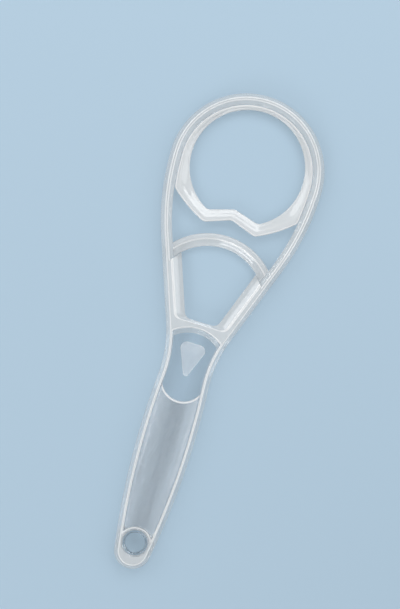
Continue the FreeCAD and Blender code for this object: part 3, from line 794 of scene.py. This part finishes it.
def sweepTree():
    tree = bpy.data.node_groups.new("sweptBush", "GeometryNodeTree")
    addSockets(tree, "INPUT", {
        "Section": "Geometry", "Bore Radius": "Float", "Turns": "Int", "Finish": "Material"})
    addSockets(tree, "OUTPUT", {"Bush": "Geometry"})
    given = tree.nodes.new("NodeGroupInput").outputs
    section = addNode(tree, "GeometryNodeMeshToCurve", {0: given["Section"]})
    hole = addNode(tree, "GeometryNodeCurvePrimitiveCircle", {
        "Radius": given["Bore Radius"], "Resolution": given["Turns"]})
    upright = addNode(tree, "GeometryNodeSetCurveNormal", {0: hole.outputs[0]}, mode="Z_UP")
    swept = addNode(tree, "GeometryNodeCurveToMesh", {
        0: upright.outputs[0], "Profile Curve": section.outputs[0]})
    real = addNode(tree, "GeometryNodeRealizeInstances", {0: swept.outputs[0]})
    coated = addNode(tree, "GeometryNodeSetMaterial", {0: real.outputs[0], "Material": given["Finish"]})
    addNode(tree, "NodeGroupOutput", {0: coated.outputs[0]})
    return tree


def makeHangEyelet():
    section = bushSection()
    corners = [(out * millimetre, -up * millimetre, 0) for out, up in section]  # the sweep turns y down
    sides = [(k, (k + 1) % len(section)) for k in range(len(section))]
    profile = bpy.data.meshes.new("bushSection")
    profile.from_pydata(corners, sides, [])
    bush = bpy.data.objects.new("bushSection", profile)
    bpy.context.scene.collection.objects.link(bush)
    sweep = bush.modifiers.new("sweep", "NODES")
    sweep.node_group = sweepTree()
    choices = {
        "Bore Radius": eyelet["boreRadius"] * millimetre, "Turns": eyelet["turns"],
        "Finish": finish["clearBush"]}
    for socket in sweep.node_group.interface.items_tree:
        if socket.name in choices:
            sweep[socket.identifier] = choices[socket.name]
    shaped = bush.evaluated_get(bpy.context.evaluated_depsgraph_get())
    swept = bpy.data.meshes.new_from_object(shaped)
    bush.modifiers.remove(sweep)
    bpy.data.objects.remove(bush)
    bm = bmesh.new()
    bm.from_mesh(swept)
    finishPiece(bm, "hangEyelet", "hang_eyelet", "clear_frame", "clearBush")


makeHangEyelet()

# Stage, in metres: a plain pale floor, soft panels round the scraper and two long ones overhead
stage = {
    "floorHalf": 1.6, "floorDrop": 0.0001, "floorTint": (0.42, 0.56, 0.68, 1), "farStart": 0.12,
    "farEnd": 0.4, "skyStrength": 0.18, "middle": (0, 0.075, 0), "aimX": -0.00195, "aimY": 0.0786,
    "cameraHeight": 0.9, "imageHeight": 0.1949, "tilt": 16.7, "sensor": 36,
}
lamps = {
    "headPanel": {"place": (0.05, 0.49, 0.42), "width": 0.46, "length": 0.26, "watts": 1.5},
    "leftPanel": {"place": (-0.42, 0.22, 0.36), "width": 0.36, "length": 0.28, "watts": 1.0},
    "rightPanel": {"place": (0.45, 0.16, 0.36), "width": 0.38, "length": 0.3, "watts": 0.8},
    "footPanel": {"place": (-0.12, -0.38, 0.32), "width": 0.32, "length": 0.2, "watts": 1.1},
    "leftRoof": {"place": (-0.17, 0.05, 0.75), "width": 0.5, "length": 0.1, "watts": 0.3},
    "rightRoof": {"place": (0.17, 0.05, 0.75), "width": 0.5, "length": 0.1, "watts": 0.3},
}


def paintFloor():
    paint = bpy.data.materials.new("floorPaint")
    paint.use_nodes = True
    tree = paint.node_tree
    tree.nodes.clear()
    matt = addNode(tree, "ShaderNodeBsdfPrincipled", {"Base Color": stage["floorTint"], "Roughness": 0.9})
    # away from the lamps it shows its own tint, so that it is as pale from every side
    place = tree.nodes.new("ShaderNodeTexCoord").outputs["Object"]
    reach = addNode(tree, "ShaderNodeVectorMath", {0: place, 1: stage["middle"]}, operation="DISTANCE")
    far = addNode(tree, "ShaderNodeMapRange", {
        "Value": reach.outputs["Value"], "From Min": stage["farStart"], "From Max": stage["farEnd"]},
        interpolation_type="SMOOTHSTEP")
    ray = tree.nodes.new("ShaderNodeLightPath").outputs
    seen = ray["Is Camera Ray"]
    for kind in ("Is Glossy Ray", "Is Transmission Ray"):
        seen = addNode(tree, "ShaderNodeMath", {0: seen, 1: ray[kind]}, operation="MAXIMUM").outputs[0]
    share = addNode(tree, "ShaderNodeMath", {0: far.outputs[0], 1: seen}, operation="MULTIPLY")
    plain = addNode(tree, "ShaderNodeEmission", {"Color": stage["floorTint"]})
    mix = addNode(tree, "ShaderNodeMixShader", {0: share.outputs[0], 1: matt.outputs[0], 2: plain.outputs[0]})
    addNode(tree, "ShaderNodeOutputMaterial", {"Surface": mix.outputs[0]})
    return paint


def makeFloor():
    half, level = stage["floorHalf"], -stage["floorDrop"]
    corners = [(-half, -half, level), (half, -half, level), (half, half, level), (-half, half, level)]
    mesh = bpy.data.meshes.new("floor")
    mesh.from_pydata(corners, [], [(0, 1, 2, 3)])
    mesh.materials.append(paintFloor())
    floor = bpy.data.objects.new("floor", mesh)
    bpy.context.scene.collection.objects.link(floor)


def addLamp(name, place, width, length, watts):
    lamp = bpy.data.lights.new(name, "AREA")
    lamp.shape = "RECTANGLE"
    lamp.size = width
    lamp.size_y = length
    lamp.energy = watts
    fitting = bpy.data.objects.new(name, lamp)
    fitting.location = place
    fitting.rotation_euler = (Vector(stage["middle"]) - Vector(place)).to_track_quat("-Z", "Y").to_euler()
    bpy.context.scene.collection.objects.link(fitting)


def makeWorld():
    world = bpy.data.worlds.new("studio")
    world.use_nodes = True
    tree = world.node_tree
    tree.nodes.clear()
    sky = addNode(tree, "ShaderNodeBackground", {"Color": (1, 1, 1, 1), "Strength": stage["skyStrength"]})
    backdrop = addNode(tree, "ShaderNodeBackground", {"Color": stage["floorTint"]})
    ray = tree.nodes.new("ShaderNodeLightPath").outputs
    seen = addNode(tree, "ShaderNodeMixShader", {
        0: ray["Is Camera Ray"], 1: sky.outputs[0], 2: backdrop.outputs[0]})
    addNode(tree, "ShaderNodeOutputWorld", {"Surface": seen.outputs[0]})
    bpy.context.scene.world = world


def makeCamera():
    lens = bpy.data.cameras.new("camera")
    lens.sensor_width = stage["sensor"]
    lens.lens = stage["sensor"] * stage["cameraHeight"] / stage["imageHeight"]
    lens.clip_end = 10
    camera = bpy.data.objects.new("camera", lens)
    camera.location = (stage["aimX"], stage["aimY"], stage["cameraHeight"])
    camera.rotation_euler = (0, 0, math.radians(stage["tilt"]))
    bpy.context.scene.collection.objects.link(camera)
    bpy.context.scene.camera = camera


makeFloor()
for name, values in lamps.items():
    addLamp(name, **values)
makeWorld()
makeCamera()
bpy.context.scene.view_settings.view_transform = "Standard"
print("stage set")
